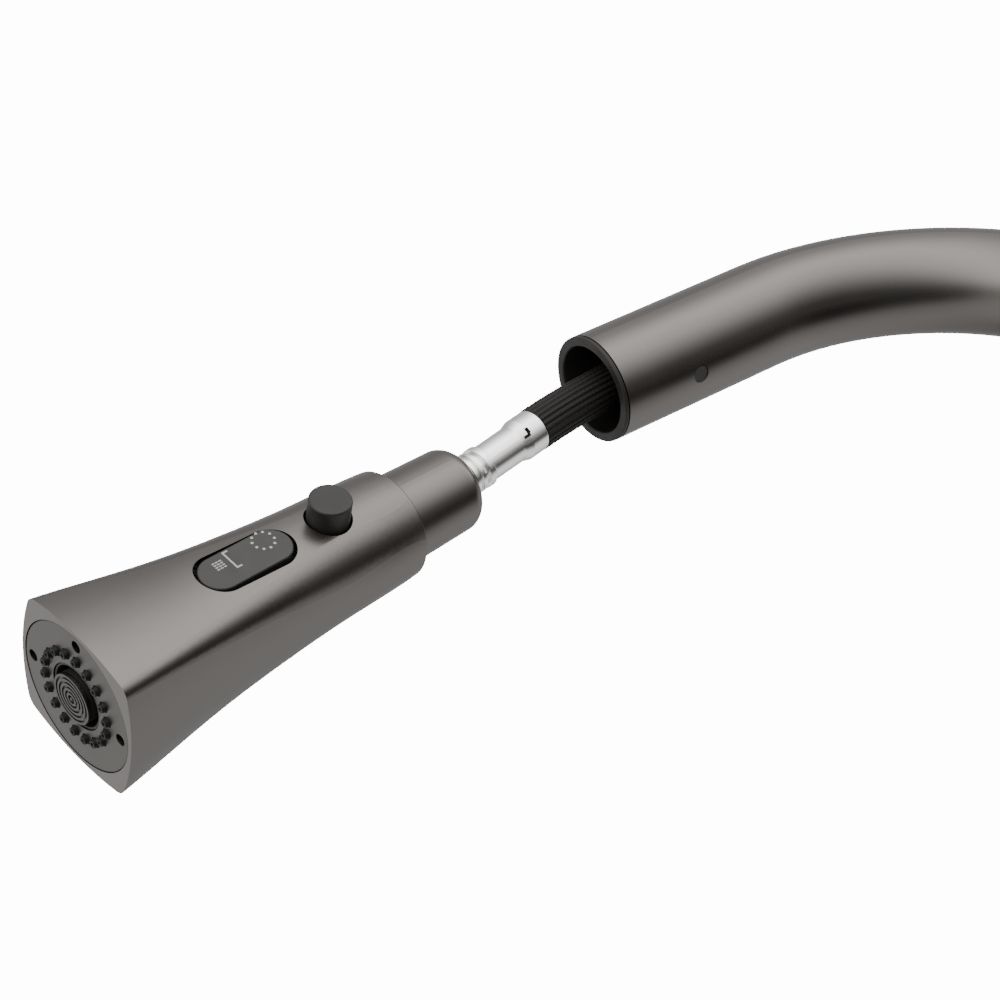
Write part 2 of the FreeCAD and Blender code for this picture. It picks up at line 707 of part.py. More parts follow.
def make_head_shell():
    outer = Part.makeLoft([shell_section(*row) for row in SHELL_SECTIONS], True, False)
    rim = Part.makeLoft([shell_section(0, 13.6, 14.4, 13.0), shell_section(*SHELL_SECTIONS[0])],
                        True, False)
    solid = outer.fuse(rim)
    length = SIZES["head_length"]
    face = SIZES["face_radius"]
    bore = SIZES["head_bore"]
    profile = Part.makePolygon([
        Vector(0, 0, -1), Vector(bore, 0, -1), Vector(bore, 0, 58), Vector(face - 3.4, 0, length - 11),
        Vector(face - 3.4, 0, length - 6), Vector(face + 0.12, 0, length - 6),
        Vector(face + 0.12, 0, length + 1), Vector(0, 0, length + 1), Vector(0, 0, -1)])
    solid = solid.cut(Part.Face(profile).revolve(Vector(), Z, 360))
    well = Part.makeCylinder(SIZES["button_radius"] + 0.6, 12,
                             Vector(8, 0, SIZES["button_distance"]), X)
    gap = SIZES["rocker_gap"]
    slot = slot_shape(SIZES["rocker_length"] + 2 * gap, SIZES["rocker_width"] + 2 * gap, 8, 12)
    item = doc.addObject("Part::Feature", "head_shell_shape")
    item.Shape = solid.cut(well).cut(slot).removeSplitter()
    keep(item, "head_shell", head_frame())


def slot_shape(length, width, start, depth):
    """A long round-ended slot through the button side of the shell."""
    half = width / 2
    centre = length / 2 - half
    middle = SIZES["rocker_distance"]
    bar = Part.makeBox(depth, width, 2 * centre, Vector(start, -half, middle - centre))
    ends = [Part.makeCylinder(half, depth, Vector(start, 0, middle + side * centre), X)
            for side in (-1, 1)]
    return bar.fuse(ends).removeSplitter()


def make_head_neck():
    stub = dim("head_bore") - 0.1
    foot = dim("neck_length") - 0.5
    neck = turned("neck_body", [
        (5.6, 4), (6.4, 0), (dim("neck_tip_radius"), 0), (dim("neck_seam_radius"), foot), (stub, foot),
        (stub, dim("neck_length") + 9), (5.6, dim("neck_length") + 9)])
    neck = rounded("neck", neck, (dim("neck_tip_radius"), 0, SIZES["neck_round"]),
                   (dim("neck_seam_radius"), foot, 0.3))
    keep(neck, "neck_collar", head_frame(-SIZES["neck_length"]))
    keep(ring("dock_plate_body", 9.4, 5.6, 1.6), "dock_steel_ring", head_frame(9.2))
    keep(turned("check_valve_body", [(0, 0), (5.0, 0), (5.0, 8), (2.0, 10), (0, 10)]),
         "check_valve", head_frame(-8))
    keep(ring("head_seal_body", 5.1, 3.5, 1.5), "hose_washer", head_frame(-10.4))


def make_waterway():
    core = turned("waterway_body", [
        (0, 0), (9.6, 0), (9.6, 14.5), (0, 14.5)])
    side = block("waterway_flat", 12, 24, 80, Placement(Vector(3.0, -12, -30), Rotation()))
    keep(cut("waterway_core", core, side), "pause_valve_body", head_frame(14.6))
    divert = turned("diverter_body", [(0, 0), (9.8, 0), (9.8, 26), (0, 26)])
    flat = block("diverter_flat", 12, 24, 80, Placement(Vector(3.6, -12, -30), Rotation()))
    bore = cylinder("diverter_bore", 2.9, 22, Placement(Vector(-2, 0, 2), Rotation()))
    keep(cut("diverter_housing", divert, flat, bore), "diverter_housing", head_frame(32.0))
    keep(block("paddle_body", 2.6, 3.8, 14), "diverter_paddle",
         head_frame(38.0).multiply(Placement(Vector(-3.3, -1.9, 0), Rotation())))
    funnel = turned("funnel_body", [
        (2.5, 0), (7.5, 0), (13.4, 22), (13.4, 24.5), (11.4, 24.5), (6.2, 4), (2.5, 4)])
    keep(funnel, "flow_funnel", head_frame(59.0))


def round_spots(circle, turns):
    """Places on a circle about Z, at the given angles in degrees."""
    for angle in turns:
        turn = math.radians(angle)
        yield Vector(math.cos(turn), math.sin(turn), 0) * circle


def make_face():
    face = dim("face_radius")
    length = SIZES["head_length"]
    circle = SIZES["nozzle_circle"]
    turns = [360 / NOZZLES * number for number in range(NOZZLES)]
    plate = ring("face_plate_body", face, dim("aerator_well") + 0.2, 3.0)
    plate = rounded("face_plate", plate, (face, 3.0, 0.25))
    holes = [cylinder(f"face_hole{number}", 1.4, 6, Placement(spot - Z, Rotation()))
             for number, spot in enumerate(round_spots(circle, turns))]
    wash = [cylinder(f"face_wash{number}", 1.5, 6, Placement(spot - Z, Rotation()))
            for number, spot in enumerate(round_spots(15.9, (1, 92, 272)))]
    keep(cut("face_plate", plate, fuse("face_holes", *holes, *wash)), "face_plate",
         head_frame(length - 3.1))
    tips = []
    for number, spot in enumerate(round_spots(circle, turns)):
        tip = turned(f"nozzle_tip{number}", [
            (0.45, 0), (1.3, 0), (1.3, 3.2), (0.95, 4.4), (0.45, 4.4)])
        tip.Placement = Placement(spot - Z * 0.4, Rotation())
        tips.append(tip)
    mat = ring("nozzle_mat_ring", 13.3, 9.0, 1.6)
    mat.Placement = at_height(-1.9)
    keep(fuse("nozzle_mat", mat, *tips), "nozzle_mat", head_frame(length - 3.1))
    rim = ring("aerator_ring_body", dim("aerator_well"), dim("aerator_well") - 0.5, 7.2)
    keep(rim, "aerator_housing", head_frame(length - 7.6))
    radius = SIZES["aerator_radius"]
    rings = [ring(f"screen_ring{number}", radius - 1.15 * number, radius - 0.6 - 1.15 * number, 1.0)
             for number in range(5)]
    dot = rounded("screen_dot", cylinder("screen_dot_body", 0.55, 1.1), (0.55, 1.1, 0.3))
    disc = cylinder("screen_disc", radius, 0.6)
    keep(fuse("aerator_screen", disc, dot, *rings), "aerator_screen", head_frame(length + 0.2))
    keep(cylinder("aerator_core_body", dim("aerator_radius"), 6.7), "aerator_insert",
         head_frame(length - 6.6))
    keep(ring("face_seal_body", face - 0.4, 16.2, 1.4), "face_seal", head_frame(length - 5.0))


def make_buttons():
    radius = dim("button_radius")
    cap = turned("button_cap_body", [
        (0, 0), (radius - 0.9, 0), (radius - 0.9, 1.0), (radius, 1.0), (radius, 9.8), (0, 9.8)])
    cap = rounded("button_cap", cap, (radius, 9.8, 0.6))

    def on_button_side(distance, out):
        return head_frame(distance).multiply(Placement(Vector(out, 0, 0), Rotation(Z, X)))

    keep(cap, "pause_button", on_button_side(SIZES["button_distance"], 10.6))
    keep(cylinder("plunger_body", 1.6, 3.8), "pause_plunger",
         on_button_side(SIZES["button_distance"], 6.6))
    spring = [torus(f"spring_coil{number}", 2.6, 0.3, at_height(number * 0.8)) for number in range(3)]
    keep(group("pause_spring", *spring), "pause_spring", on_button_side(SIZES["button_distance"], 6.4))
    rocker = stadium("rocker_body", dim("rocker_length"), dim("rocker_width"), 4.6,
                     Placement(Vector(), Rotation()))
    doc.recompute()
    top = [(number, 0.5, 0.5) for number, edge in enumerate(rocker.Shape.Edges, start=1)
           if all(abs(vertex.X - 4.6) < 1e-4 for vertex in edge.Vertexes)]
    soft = doc.addObject("Part::Fillet", "rocker_rounded")
    soft.Base = rocker
    soft.Edges = top
    keep(soft, "mode_rocker", head_frame(SIZES["rocker_distance"]).multiply(
        Placement(Vector(10.9, 0, 0), Rotation())))
    keep(cylinder("rocker_pin_body", 0.9, 16), "rocker_pin",
         head_frame(SIZES["rocker_distance"]).multiply(
             Placement(Vector(9.9, -8, 0), Rotation(Z, Y))))


# ---------------------------------------------------------------- build and write
make_base()
make_body_shell()
make_valve_block()
make_shank()
make_cartridge()
make_lever()
make_spout_tube()
make_spout_fittings()
make_hoses()
make_hose_end()
make_under_deck()
make_head_shell()
make_head_neck()
make_waterway()
make_face()
make_buttons()

doc.recompute()
for item in doc.Objects:
    if "Invalid" in item.State or "Error" in item.State:
        raise SystemExit(f"{item.Name} failed: {item.State}")
for item in nodes:
    if item.Shape.isNull() or not item.Shape.isValid():
        raise SystemExit(f"{item.Label} has no valid shape")

os.makedirs("parts", exist_ok=True)
for item in nodes:
    item.Shape.exportStep(f"parts/{item.Label}.step")
print(len(nodes), "parts; mouth", MOUTH, "seam", SEAM)
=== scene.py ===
"""Pull-down kitchen faucet: materials, hoses, fine detail, light and camera."""
import json
import math

import bmesh
import bpy
from mathutils import Matrix, Vector


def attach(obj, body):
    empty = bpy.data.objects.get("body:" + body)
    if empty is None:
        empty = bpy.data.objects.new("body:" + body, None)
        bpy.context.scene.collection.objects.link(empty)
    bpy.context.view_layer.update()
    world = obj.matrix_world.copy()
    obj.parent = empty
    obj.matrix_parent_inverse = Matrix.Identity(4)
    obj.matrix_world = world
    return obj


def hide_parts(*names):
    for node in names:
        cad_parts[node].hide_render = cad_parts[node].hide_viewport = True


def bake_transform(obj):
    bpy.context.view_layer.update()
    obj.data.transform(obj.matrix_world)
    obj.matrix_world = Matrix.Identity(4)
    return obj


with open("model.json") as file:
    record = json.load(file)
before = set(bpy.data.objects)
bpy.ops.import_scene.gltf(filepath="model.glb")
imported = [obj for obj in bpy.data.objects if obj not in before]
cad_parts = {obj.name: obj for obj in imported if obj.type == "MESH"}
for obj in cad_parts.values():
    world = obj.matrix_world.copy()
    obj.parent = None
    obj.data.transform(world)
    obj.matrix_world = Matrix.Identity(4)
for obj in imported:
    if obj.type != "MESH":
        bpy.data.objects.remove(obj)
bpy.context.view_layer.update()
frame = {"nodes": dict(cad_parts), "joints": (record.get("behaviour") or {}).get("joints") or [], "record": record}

MM = 0.001
joints = {joint["name"]: joint for joint in frame["joints"]}
nodes = frame["nodes"]


def millimetres(*numbers):
    return Vector(numbers) * MM


# ------------------------------------------------------------------ places, from the frame
SEAM = Vector(joints["head_swivel"]["pos_m"])
HEAD_AXIS = Vector(joints["head_swivel"]["axis"]).normalized()
BUTTON_SIDE = -Vector(joints["pause_press"]["axis"]).normalized()
HEAD_CROSS = HEAD_AXIS.cross(BUTTON_SIDE)
BALL = Vector(joints["ball_tilt"]["pos_m"])
HOSE_WAY = Vector((0.0558, 0.5210, 0.8518)).normalized()
TIP_ANGLE = math.radians(48)
SPOUT_AXIS = Vector((0, -math.cos(TIP_ANGLE), -math.sin(TIP_ANGLE)))
BEND_RADIUS = 68.4 * MM
BEND_CENTRE = millimetres(0, -68.4, 270)
TIP_LENGTH = 58.8 * MM
MOUTH = BEND_CENTRE + BEND_RADIUS * Vector((0, -math.sin(TIP_ANGLE), math.cos(TIP_ANGLE))) \
    + SPOUT_AXIS * TIP_LENGTH
HOSE_RADIUS = 6 * MM
RIBS = 24                       # ribs round the braid
STITCH = 1.5 * MM               # length of one stitch along it
HOSE_END_DISTANCE = 36.3 * MM   # from the ball's centre to the end of the braid
HOSE_END = BALL + HOSE_WAY * HOSE_END_DISTANCE


def head_point(along, out, across):
    """A point on the spray head: millimetres from the seam, to the buttons and across."""
    return SEAM + (HEAD_AXIS * along + BUTTON_SIDE * out + HEAD_CROSS * across) * MM


# ------------------------------------------------------------------ material nodes
class Paint:
    """A node material with one Principled shader, built up by short calls."""

    def __init__(self, name, **values):
        self.material = bpy.data.materials.new(name)
        self.material.use_nodes = True
        self.tree = self.material.node_tree
        self.shader = self.tree.nodes["Principled BSDF"]
        self.place = self.node("ShaderNodeTexCoord").outputs["Object"]
        for socket, value in values.items():
            self.shader.inputs[socket.replace("_", " ")].default_value = value

    def node(self, kind, **settings):
        node = self.tree.nodes.new(kind)
        for name, value in settings.items():
            setattr(node, name, value)
        return node

    def join(self, source, target):
        self.tree.links.new(source, target)

    def noise(self, scale, detail=3.0, stretch=None):
        source = self.place
        if stretch:
            mapping = self.node("ShaderNodeMapping")
            mapping.inputs["Scale"].default_value = stretch
            self.join(source, mapping.inputs["Vector"])
            source = mapping.outputs["Vector"]
        noise = self.node("ShaderNodeTexNoise")
        noise.inputs["Scale"].default_value = scale
        noise.inputs["Detail"].default_value = detail
        self.join(source, noise.inputs["Vector"])
        return noise.outputs["Fac"]

    def ramp(self, source, stops):
        ramp = self.node("ShaderNodeValToRGB")
        elements = ramp.color_ramp.elements
        while len(elements) < len(stops):
            elements.new(0.5)
        for element, (position, colour) in zip(elements, stops):
            element.position = position
            element.color = (*colour, 1)
        self.join(source, ramp.inputs["Fac"])
        return ramp.outputs["Color"]

    def grey(self, source, low, high, start=0.3, end=0.7):
        spread = self.node("ShaderNodeMapRange")
        spread.inputs["From Min"].default_value = start
        spread.inputs["From Max"].default_value = end
        spread.inputs["To Min"].default_value = low
        spread.inputs["To Max"].default_value = high
        self.join(source, spread.inputs["Value"])
        return spread.outputs["Result"]

    def colour(self, source):
        self.join(source, self.shader.inputs["Base Color"])

    def roughness(self, source):
        self.join(source, self.shader.inputs["Roughness"])

    def bump(self, source, strength, distance):
        bump = self.node("ShaderNodeBump")
        bump.inputs["Strength"].default_value = strength
        bump.inputs["Distance"].default_value = distance
        self.join(source, bump.inputs["Height"])
        self.join(bump.outputs["Normal"], self.shader.inputs["Normal"])

    def math(self, operation, first, second=None):
        node = self.node("ShaderNodeMath", operation=operation)
        for socket, value in zip(node.inputs, (first, second)):
            if value is None:
                continue
            if isinstance(value, (int, float)):
                socket.default_value = value
            else:
                self.join(value, socket)
        return node.outputs[0]


def satin_metal(name, dark, light, rough=(0.27, 0.33)):
    """Satin coating: a faint cloud in its colour and gloss, over a fine blasted grain."""
    paint = Paint(name, Metallic=1.0)
    cloud = paint.noise(34.0, 4.0)
    paint.colour(paint.ramp(cloud, [(0.3, dark), (0.7, light)]))
    paint.roughness(paint.grey(cloud, *rough))
    paint.bump(paint.noise(2400.0, 2.0), 0.03, 0.00008)
    return paint.material


def moulded(name, dark, light, rough=(0.45, 0.6), grain=900.0, depth=0.12, gloss=0.5):
    paint = Paint(name, Specular_IOR_Level=gloss)
    cloud = paint.noise(60.0, 4.0)
    paint.colour(paint.ramp(cloud, [(0.3, dark), (0.7, light)]))
    paint.roughness(paint.grey(paint.noise(180.0), *rough))
    paint.bump(paint.noise(grain, 3.0), depth, 0.0001)
    return paint.material


def braid_material(name):
    """Black nylon braid: ribs run along the hose and fine threads cross them."""
    paint = Paint(name, Specular_IOR_Level=0.18)
    uv = paint.node("ShaderNodeUVMap", uv_map="UVMap").outputs["UV"]
    split = paint.node("ShaderNodeSeparateXYZ")
    paint.join(uv, split.inputs["Vector"])
    around, along = split.outputs["X"], split.outputs["Y"]

    def wave(turns_around, turns_along):
        phase = paint.math("ADD", paint.math("MULTIPLY", around, turns_around * math.pi),
                           paint.math("MULTIPLY", along, turns_along * math.pi))
        return paint.math("ABSOLUTE", paint.math("COSINE", phase))

    ribs = wave(RIBS, 0.0)
    threads = paint.math("MAXIMUM", wave(3 * RIBS, 22.0), wave(3 * RIBS, -22.0))
    yarn = paint.noise(3800.0, 2.0)
    height = paint.math("ADD", paint.math("MULTIPLY", ribs, 0.55),
                        paint.math("MULTIPLY", threads, 0.30))
    height = paint.math("ADD", height, paint.math("MULTIPLY", yarn, 0.20))
    # painted shade and painted highlight: the colour runs from near black in the grooves between ribs and threads
    # to paler on their crowns
    paint.colour(paint.ramp(height, [(0.35, (0.0022, 0.0019, 0.0017)),
                                     (0.70, (0.0058, 0.0050, 0.0044)),
                                     (0.98, (0.0160, 0.0140, 0.0122))]))
    paint.roughness(paint.grey(yarn, 0.48, 0.68))
    paint.bump(height, 0.6, 0.0003)
    return paint.material


def machined(name, dark, light, rough=(0.25, 0.4)):
    paint = Paint(name, Metallic=1.0)
    cloud = paint.noise(80.0, 4.0)
    paint.colour(paint.ramp(cloud, [(0.3, dark), (0.7, light)]))
    lines = paint.noise(900.0, 2.0, stretch=(0.15, 0.15, 4.0))
    paint.roughness(paint.grey(lines, *rough))
    paint.bump(lines, 0.12, 0.00005)
    return paint.material


def make_materials():
    return {
        "gunmetal": satin_metal("satin_gunmetal", (0.118, 0.109, 0.103), (0.127, 0.117, 0.111)),
        "head_gunmetal": satin_metal("satin_gunmetal_head", (0.118, 0.109, 0.103),
                                     (0.127, 0.117, 0.111)),
        "face_grey": satin_metal("face_gunmetal", (0.078, 0.072, 0.067), (0.086, 0.080, 0.074),
                                 (0.36, 0.44)),
        "dark_ring": moulded("ring_plastic", (0.0095, 0.0084, 0.0076), (0.0135, 0.0120, 0.0108),
                             gloss=0.25),
        "side_plug_dark": moulded("plug_plastic", (0.010, 0.0085, 0.0080), (0.014, 0.0125, 0.0115)),
        "rocker_grey": moulded("rocker_plastic", (0.0135, 0.0125, 0.0117), (0.0175, 0.0163, 0.0152),
                               (0.40, 0.50), 1500.0, 0.05, gloss=0.38),
        "button_grey": moulded("button_plastic", (0.0105, 0.0095, 0.0088), (0.0145, 0.0133, 0.0124),
                               (0.40, 0.50), 1500.0, 0.06, gloss=0.30),
        "black_rubber": moulded("black_rubber", (0.003, 0.003, 0.003), (0.006, 0.006, 0.006),
                                (0.5, 0.7), gloss=0.25),
        "aerator_black": moulded("aerator_black", (0.0025, 0.0025, 0.0025), (0.005, 0.005, 0.005),
                                 (0.55, 0.7)),
        "aerator_grey": satin_metal("aerator_metal", (0.068, 0.064, 0.060), (0.080, 0.075, 0.070),
                                    (0.36, 0.46)),
        "ferrule_metal": satin_metal("bright_metal", (0.80, 0.78, 0.77), (0.88, 0.865, 0.855),
                                     (0.20, 0.27)),
        "steel": machined("plain_steel", (0.48, 0.48, 0.48), (0.58, 0.58, 0.57)),
        "brass": machined("turned_brass", (0.62, 0.45, 0.20), (0.72, 0.54, 0.27)),
        "magnet": moulded("magnet", (0.06, 0.06, 0.06), (0.09, 0.09, 0.09)),
        "white_plastic": moulded("natural_plastic", (0.56, 0.56, 0.53), (0.64, 0.64, 0.61)),
        "grey_plastic": moulded("grey_plastic", (0.12, 0.12, 0.125), (0.16, 0.16, 0.165)),
        "ceramic_white": moulded("lapped_ceramic", (0.72, 0.72, 0.68), (0.8, 0.8, 0.77), (0.15, 0.25)),
        "braid_black": braid_material("nylon_braid"),
    }


materials = make_materials()
for part in frame["record"]["subparts"]:
    mesh = nodes[part["node"]].data
    for index in range(len(mesh.materials)):
        mesh.materials[index] = materials[part["material_slot"]]
    if not mesh.materials:
        mesh.materials.append(materials[part["material_slot"]])
# painted shade: the moulded insert behind the stream outlet is given the black aerator finish, so the well round
# the outlet reads dark
insert = nodes["aerator_insert"].data
for index in range(len(insert.materials)):
    insert.materials[index] = materials["aerator_black"]


# ------------------------------------------------------------------ mesh helpers
def finish_piece(piece, slot, body=None):
    piece.data.materials.clear()
    piece.data.materials.append(materials[slot])
    if body:
        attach(piece, body)


def mesh_piece(name, vertices, faces, smooth=True):
    mesh = bpy.data.meshes.new(name)
    mesh.from_pydata([tuple(v) for v in vertices], [], faces)
    mesh.validate()
    mesh.polygons.foreach_set("use_smooth", [smooth] * len(mesh.polygons))
    piece = bpy.data.objects.new(name, mesh)
    bpy.context.scene.collection.objects.link(piece)
    return piece


# ------------------------------------------------------------------ hoses
def route_line(name, points):
    """Points of the smooth line that a route's control points make."""
    curve = bpy.data.curves.new(name, "CURVE")
    curve.dimensions = "3D"
    curve.resolution_u = 24
    spline = curve.splines.new("NURBS")
    spline.points.add(len(points) - 1)
    for target, point in zip(spline.points, points):
        target.co = (*point, 1)
    spline.order_u = 3
    spline.use_endpoint_u = True
    holder = bpy.data.objects.new(name, curve)
    bpy.context.scene.collection.objects.link(holder)
    bpy.context.view_layer.update()
    mesh = bpy.data.meshes.new_from_object(holder)
    line = [vertex.co.copy() for vertex in mesh.vertices]
    bpy.data.objects.remove(holder)
    bpy.data.meshes.remove(mesh)
    return line


def even_points(line, step):
    """The same line with points an even distance apart."""
    total = sum((b - a).length for a, b in zip(line, line[1:]))
    count = max(2, round(total / step))
    result = [line[0].copy()]
    gone = 0.0
    wanted = total / count
    for a, b in zip(line, line[1:]):
        length = (b - a).length
        while gone + length >= wanted * len(result) and len(result) < count:
            result.append(a.lerp(b, (wanted * len(result) - gone) / length))
        gone += length
    result.append(line[-1].copy())
    return result, total


def hose_piece(name, points, step, around, rib_depth):
    """A braided hose: ribs stand along it, and its UV map carries the braid."""
    line, total = even_points(route_line(name, points), step)
    side = (line[1] - line[0]).orthogonal().normalized()
    vertices, faces, ring_uv = [], [], []
    walked = 0.0
    for index, point in enumerate(line):
        before, after = line[max(index - 1, 0)], line[min(index + 1, len(line) - 1)]
        tangent = (after - before).normalized()
        side = (side - tangent * side.dot(tangent)).normalized()
        other = tangent.cross(side)
        walked += (point - line[index - 1]).length if index else 0.0
        ring_uv.append(walked / (2 * HOSE_RADIUS))
        for spoke in range(around):
            turn = 2 * math.pi * spoke / around
            rib = RIBS * spoke / around
            stitch = abs(math.sin(math.pi * (walked / STITCH + 0.5 * round(rib))))
            crown = abs(math.cos(math.pi * rib)) * (0.72 + 0.28 * stitch)
            radius = HOSE_RADIUS - rib_depth * (1 - crown)
            vertices.append(point + (side * math.cos(turn) + other * math.sin(turn)) * radius)
    uvs = []
    for index in range(len(line) - 1):
        for spoke in range(around):
            following = (spoke + 1) % around
            faces.append((index * around + spoke, index * around + following,
                          (index + 1) * around + following, (index + 1) * around + spoke))
            left, right = spoke / around, (spoke + 1) / around
            uvs += [(left, ring_uv[index]), (right, ring_uv[index]),
                    (right, ring_uv[index + 1]), (left, ring_uv[index + 1])]
    for first in (0, (len(line) - 1) * around):
        cap = list(range(first, first + around))
        faces.append(cap if first else cap[::-1])
        uvs += [(0.0, 0.0)] * around
    piece = mesh_piece(name, vertices, faces)
    layer = piece.data.uv_layers.new(name="UVMap")
    layer.data.foreach_set("uv", [value for pair in uvs for value in pair])
    finish_piece(piece, "braid_black")
    return piece, line, total


def bend_point(degrees, radius):
    turn = math.radians(degrees)
    return BEND_CENTRE + Vector((0, math.cos(turn), math.sin(turn))) * radius


SPLIT_DEPTH = 56                # where the drawn-out length begins, behind the mouth
SPLIT_GAP = 0.5                 # between the two lengths of hose
OUTER_WALL = 1.0205             # the hose lies towards the outer wall of the bend
SPLIT = MOUTH - SPOUT_AXIS * SPLIT_DEPTH * MM
RISER_FOOT = millimetres(0, 0, 97.6)

pulled_route = [
    HOSE_END,
    HOSE_END + HOSE_WAY * 12 * MM,
    MOUTH - SPOUT_AXIS * 18 * MM,
    MOUTH - SPOUT_AXIS * 37 * MM + millimetres(0.5, 0, 0),
    SPLIT,
][::-1]
pulled, pulled_line, pulled_length = hose_piece(
    "braided_hose_pulled", pulled_route, 0.00035, 8 * RIBS, 0.00024)
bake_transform(pulled)
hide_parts("hose_pull_length")

spout_route = [
    SPLIT - SPOUT_AXIS * SPLIT_GAP * MM,
    *(bend_point(degrees, BEND_RADIUS * OUTER_WALL)
      for degrees in (126.5, 103.5, 80.5, 57.5, 34.5, 11.5)),
    millimetres(1.5, -2, 238),
    millimetres(-1.5, 1.5, 190),
    millimetres(1, -1, 150),
    millimetres(0, 0, 121),
    RISER_FOOT,
][::-1]
inner, inner_line, inner_length = hose_piece(
    "braided_hose_in_spout", spout_route, 0.002, 2 * RIBS, 0.0002)
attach(inner, "spout")
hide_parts("hose_spout_length")

loop_route = [millimetres(*point) for point in (
    (0, 0, 97.6),
    (0, 0, -70),
    (-3, -10, -126),
    (-6, -43, -172),
    (-9, -86, -210),
    (-10, -119, -248),
    (-11, -131, -290),
    (-11, -128, -338),
    (-9, -87, -379),
    (-6, -29, -379),
    (-3, 10.5, -339),
    (-1, 15, -284),
    (0, 11.5, -230),
    (0, 10.5, -176),
)]
loop, loop_line, loop_length = hose_piece("braided_hose_loop", loop_route, 0.0012, 4 * RIBS, 0.0003)
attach(loop, "root")
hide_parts("hose_loop")


# ------------------------------------------------------------------ small flat pieces
ROCKER_TOP = 15.5
SIGN_HALF_THICKNESS = 0.05
CRIMP_FACING = Vector((0.52, 0.24, -0.82))
CRIMP_SIDE = (CRIMP_FACING - HOSE_WAY * CRIMP_FACING.dot(HOSE_WAY)).normalized()
CRIMP_CROSS = CRIMP_SIDE.cross(HOSE_WAY)


def ferrule_point(along, out, across):
    """A point on the ferrule: millimetres from the hose end, towards its crimp marks and across."""
    return HOSE_END + (CRIMP_SIDE * out + CRIMP_CROSS * across - HOSE_WAY * along) * MM


def flat_piece(name, outlines, place, low, high):
    """Thin plates between two heights, each an outline of (along, across) in millimetres."""
    vertices, faces = [], []
    for outline in outlines:
        first, count = len(vertices), len(outline)
        for out in (low, high):
            vertices += [place(along, out, across) for along, across in outline]
        faces.append(list(range(first, first + count)))
        faces.append(list(range(first + 2 * count - 1, first + count - 1, -1)))
        for corner in range(count):
            following = (corner + 1) % count
            faces.append((first + following, first + corner,
                          first + count + corner, first + count + following))
    piece = mesh_piece(name, vertices, faces, smooth=False)
    mesh = bmesh.new()
    mesh.from_mesh(piece.data)
    bmesh.ops.recalc_face_normals(mesh, faces=mesh.faces)
    mesh.to_mesh(piece.data)
    mesh.free()
    return piece


def printed_sign(name, outlines):
    sign = flat_piece(name, outlines, head_point,
                      ROCKER_TOP - SIGN_HALF_THICKNESS, ROCKER_TOP + SIGN_HALF_THICKNESS)
    finish_piece(sign, "white_plastic", "rocker")
    sign.data.materials[0] = printed_grey


def dot_outline(along, across, radius, corners=16):
    turns = [2 * math.pi * corner / corners for corner in range(corners)]
    return [(along + radius * math.cos(turn), across + radius * math.sin(turn)) for turn in turns]


def bar_outline(along, across, length, width):
    """A bar from its centre, length along the head and width across it."""
    return [(along - length / 2, across - width / 2), (along + length / 2, across - width / 2),
            (along + length / 2, across + width / 2), (along - length / 2, across + width / 2)]


printed_grey = moulded("printed_grey", (0.26, 0.255, 0.248), (0.30, 0.295, 0.287), (0.5, 0.6))

# a ring of dots is the spray
DOTS = 10
DOT_RADIUS = 0.36
RING_RADIUS = 2.75
RING_ALONG, RING_ACROSS = 39.8, 2.15
ring_turns = [2 * math.pi * (dot + 0.5) / DOTS for dot in range(DOTS)]
printed_sign("spray_sign", [dot_outline(RING_ALONG + RING_RADIUS * math.cos(turn),
                                        RING_ACROSS + RING_RADIUS * math.sin(turn), DOT_RADIUS)
                            for turn in ring_turns])

# a bracket with rows of dashes below it is the stream
LINE_WIDTH = 0.45
DASH_STEP, ROW_STEP = 0.95, 0.72
DASH_LENGTH, DASH_WIDTH = 0.72, 0.36
bracket = [bar_outline(50.0, 1.65, LINE_WIDTH, 5.9),
           bar_outline(49.2, 4.38, 1.15, LINE_WIDTH),
           bar_outline(49.2, -1.08, 1.15, LINE_WIDTH)]
dashes = [bar_outline(52.0 + DASH_STEP * dash, 0.72 + ROW_STEP * row, DASH_LENGTH, DASH_WIDTH)
          for row in range(4) for dash in range(3)]
printed_sign("stream_sign", bracket + dashes)

# painted shade: thin black plates on the floors of the crimp marks darken the notches
crimp_painted_shade = flat_piece("crimp_painted_shade", [bar_outline(5.55, 0.65, 1.05, 1.65),
                                         bar_outline(6.4, -0.5, 1.95, 0.75)],
                         ferrule_point, 4.25, 4.45)
finish_piece(crimp_painted_shade, "black_rubber", "hose_reach")


# ------------------------------------------------------------------ stage, light and camera
FLOOR_SIZE = 60
FLOOR_HEIGHT = -0.40


def make_floor():
    """A pale floor that the camera sees, and that leaves the studio's light and reflections alone."""
    bpy.ops.mesh.primitive_plane_add(size=FLOOR_SIZE, location=(0, 0, FLOOR_HEIGHT))
    floor = bpy.context.object
    floor.name = "floor"
    paint = Paint("pale_floor", Roughness=0.7)
    paint.colour(paint.ramp(paint.noise(3.0), [(0.3, (0.80, 0.80, 0.80)),
                                               (0.7, (0.83, 0.83, 0.83))]))
    floor.data.materials.append(paint.material)
    floor.visible_glossy = False
    floor.visible_diffuse = False
    floor.visible_shadow = False


CAMERA_PLACE = MOUTH + millimetres(250.8, 103.08, -454.66)
CAMERA_RIGHT = Vector((-0.1072, 0.9708, 0.2145))
CAMERA_UP = Vector((0.8490, -0.0228, 0.5279))
CAMERA_BACK = Vector((0.5174, 0.2387, -0.8218))
SENSOR_WIDTH = 36.0
LENS_PER_SENSOR = 1.974


